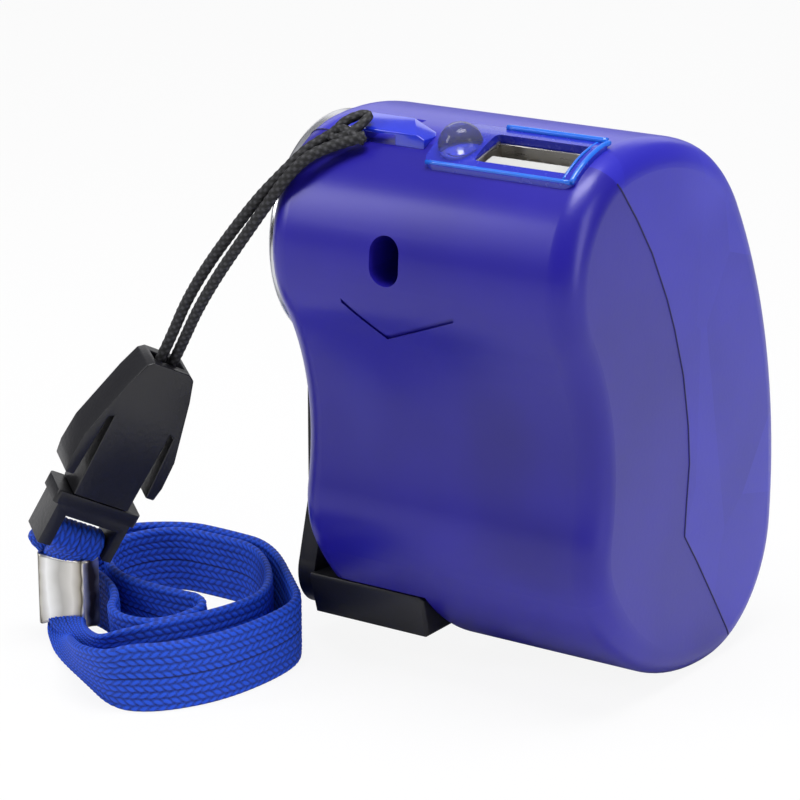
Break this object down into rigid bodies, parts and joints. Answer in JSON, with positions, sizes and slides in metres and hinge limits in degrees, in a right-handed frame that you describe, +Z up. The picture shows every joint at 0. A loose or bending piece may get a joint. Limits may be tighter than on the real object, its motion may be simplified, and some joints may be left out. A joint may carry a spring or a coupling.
{
  "type": "hand crank phone charger",
  "caption": "Pocket phone charger with rounded waisted body, folding side crank, USB outlet, lamp, lanyard cord, snap buckle and braided wrist strap.",
  "frame": {"origin": "centre of the rigid body's box on the ground, under the heel flat", "axes": "+X along the body's width away from the crank end, -Y the front with the screw well, +Z up"},
  "size_m": [0.0822, 0.0754, 0.0726],
  "materials": {
    "body_blue": "glossy",
    "rim_blue": "glossy",
    "socket_steel": "smooth",
    "white_plastic": "satin",
    "contact_brass": "smooth",
    "lamp_clear": "clear",
    "board_green": "satin",
    "black_plastic": "satin",
    "magnet_dark": "dull",
    "silver_plastic": "bright",
    "buckle_black": "satin",
    "clamp_silver": "bright",
    "cord_black": "braided",
    "strap_blue": "braided"
  },
  "bodies": {
    "housing": {"housing_front": "body_blue", "housing_rear": "body_blue", "usb_bezel": "rim_blue", "lanyard_eye": "body_blue", "usb_shell": "socket_steel", "usb_tongue": "white_plastic", "usb_contacts": "contact_brass", "led_lamp": "lamp_clear", "led_leads": "socket_steel", "circuit_board": "board_green", "capacitor": "black_plastic", "diodes": "black_plastic", "regulator": "black_plastic", "gear_plate_outer": "white_plastic", "gear_plate_inner": "white_plastic", "plate_pillars": "socket_steel", "idler_axles": "socket_steel", "dynamo_can": "socket_steel", "dynamo_magnet": "magnet_dark", "dynamo_cap": "white_plastic", "housing_screws": "socket_steel", "buckle_plug": "buckle_black", "strap_clamp": "clamp_silver", "lanyard_cord": "cord_black", "strap_front": "strap_blue", "strap_outer": "strap_blue", "strap_inner": "strap_blue", "strap_fold": "strap_blue", "strap_ends": "strap_blue", "strap_link": "strap_blue", "strap_front_end": "strap_blue", "strap_inner_end": "strap_blue"},
    "crank": {"crank_hub": "silver_plastic", "crank_shaft": "socket_steel", "crank_gear": "white_plastic"},
    "arm": {"crank_arm": "black_plastic", "fold_pin": "socket_steel", "crank_handle": "black_plastic", "handle_pin": "socket_steel"},
    "idler_a": {"idler_wheel_a": "white_plastic"},
    "idler_b": {"idler_wheel_b": "white_plastic"},
    "dynamo_armature": {"dynamo_rotor": "magnet_dark", "dynamo_shaft": "socket_steel", "dynamo_pinion": "contact_brass"},
    "buckle_upper": {"buckle_socket": "buckle_black"}
  },
  "joints": [
    {"name": "crank_spin", "type": "hinge", "parent": "housing", "child": "crank", "pos_m": [-0.00875, -0.00848, 0.0555], "axis": [1, 0, 0], "continuous": true, "deforming": ["lanyard_cord", "strap_front", "strap_outer", "strap_inner", "strap_fold", "strap_ends", "strap_link", "strap_front_end", "strap_inner_end"]},
    {"name": "arm_fold", "type": "hinge", "parent": "crank", "child": "arm", "pos_m": [-0.02315, -0.00848, 0.0555], "axis": [0, 1, 0], "range_deg": [0, 180], "deforming": ["lanyard_cord", "strap_front", "strap_outer", "strap_inner", "strap_fold", "strap_ends", "strap_link", "strap_front_end", "strap_inner_end"]},
    {"name": "idler_a_spin", "type": "hinge", "parent": "housing", "child": "idler_a", "pos_m": [-0.01175, -0.00008, 0.04095], "axis": [1, 0, 0], "continuous": true},
    {"name": "idler_b_spin", "type": "hinge", "parent": "housing", "child": "idler_b", "pos_m": [-0.00875, -0.00498, 0.0274], "axis": [1, 0, 0], "continuous": true},
    {"name": "dynamo_spin", "type": "hinge", "parent": "housing", "child": "dynamo_armature", "pos_m": [0.00325, 0.00937, 0.02615], "axis": [1, 0, 0], "continuous": true},
    {"name": "buckle_release", "type": "slide", "parent": "housing", "child": "buckle_upper", "axis": [0.409, 0.241, 0.8801], "range_m": [0, 0.012], "deforming": ["lanyard_cord", "strap_front", "strap_outer", "strap_inner", "strap_fold", "strap_ends", "strap_link", "strap_front_end", "strap_inner_end"]}
  ],
  "couplings": [
    {"joint": "idler_a_spin", "follows": "crank_spin", "ratio": -3.6667},
    {"joint": "idler_b_spin", "follows": "crank_spin", "ratio": 11},
    {"joint": "dynamo_spin", "follows": "crank_spin", "ratio": -33}
  ]
}
